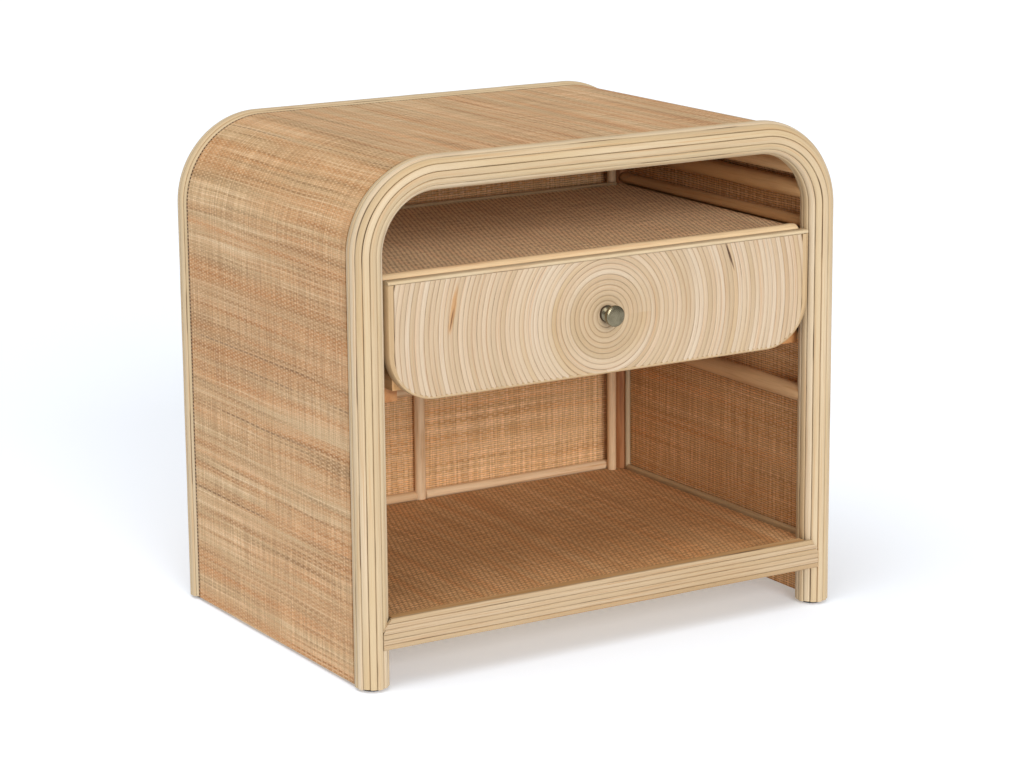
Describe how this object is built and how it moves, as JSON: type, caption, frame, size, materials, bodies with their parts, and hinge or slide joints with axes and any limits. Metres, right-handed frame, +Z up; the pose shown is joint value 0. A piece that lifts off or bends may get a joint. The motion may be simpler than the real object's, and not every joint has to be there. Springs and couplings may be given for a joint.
{
  "type": "nightstand",
  "caption": "Rattan nightstand with arched reed-wrapped ends, woven cane walls, an open top cubby, a drawer with concentric reed front and an open lower compartment.",
  "frame": {"origin": "on the floor, at the middle of the whole nightstand's bounding box, the knob included", "axes": "+X across the width to the right as seen from the front, -Y out of the front, +Z up"},
  "size_m": [0.6096, 0.445, 0.5588],
  "materials": {
    "split_reed": "natural split rattan, clear matt lacquer",
    "rattan_pole": "natural rattan pole, satin",
    "woven_cane": "fine woven rattan mat, matt",
    "plywood": "raw plywood",
    "solid_wood": "planed hardwood",
    "nickel": "brushed dull nickel",
    "zinc_steel": "zinc plated",
    "glide_plastic": "matt"
  },
  "bodies": {
    "cabinet": {"front_arch_pole": "rattan_pole", "back_arch_pole": "rattan_pole", "front_arch_reeds": "split_reed", "back_arch_reeds": "split_reed", "shell_board": "plywood", "outer_weave": "woven_cane", "inner_weave": "woven_cane", "corner_pole_left": "rattan_pole", "corner_pole_right": "rattan_pole", "upper_side_pole_left": "rattan_pole", "upper_side_pole_right": "rattan_pole", "shelf_edge_pole_left": "rattan_pole", "shelf_edge_pole_right": "rattan_pole", "runner_pole_left": "rattan_pole", "runner_pole_right": "rattan_pole", "stretcher_pole_left": "rattan_pole", "stretcher_pole_right": "rattan_pole", "back_board": "plywood", "back_weave_inner": "woven_cane", "back_weave_outer": "woven_cane", "back_centre_pole": "rattan_pole", "back_bottom_poles": "rattan_pole", "back_middle_poles": "rattan_pole", "back_corner_pole_left": "rattan_pole", "back_corner_pole_right": "rattan_pole", "corner_reed_left": "split_reed", "corner_reed_right": "split_reed", "upper_shelf_board": "plywood", "upper_shelf_weave": "woven_cane", "upper_shelf_front_pole": "rattan_pole", "upper_shelf_back_trim": "split_reed", "upper_cleat_left": "solid_wood", "upper_cleat_right": "solid_wood", "lower_shelf_board": "plywood", "lower_shelf_weave": "woven_cane", "lower_shelf_trim_left": "split_reed", "lower_shelf_trim_right": "split_reed", "lower_cleat_left": "solid_wood", "lower_cleat_right": "solid_wood", "front_rail": "solid_wood", "front_rail_reeds": "split_reed", "back_rail": "solid_wood", "drawer_runner_left": "solid_wood", "drawer_runner_right": "solid_wood", "drawer_stops": "solid_wood", "runner_screws": "zinc_steel", "foot_glides": "glide_plastic"},
    "drawer": {"drawer_front_board": "plywood", "drawer_ring_reeds": "split_reed", "drawer_top_trim": "split_reed", "drawer_side_trims": "split_reed", "drawer_edge_binding": "split_reed", "drawer_side_left": "solid_wood", "drawer_side_right": "solid_wood", "drawer_back": "solid_wood", "drawer_bottom": "plywood", "knob_rosette": "nickel", "knob": "nickel", "knob_screw": "zinc_steel"}
  },
  "joints": [
    {"name": "drawer_slide", "type": "slide", "parent": "cabinet", "child": "drawer", "axis": [0, -1, 0], "range_m": [0, 0.28]}
  ]
}
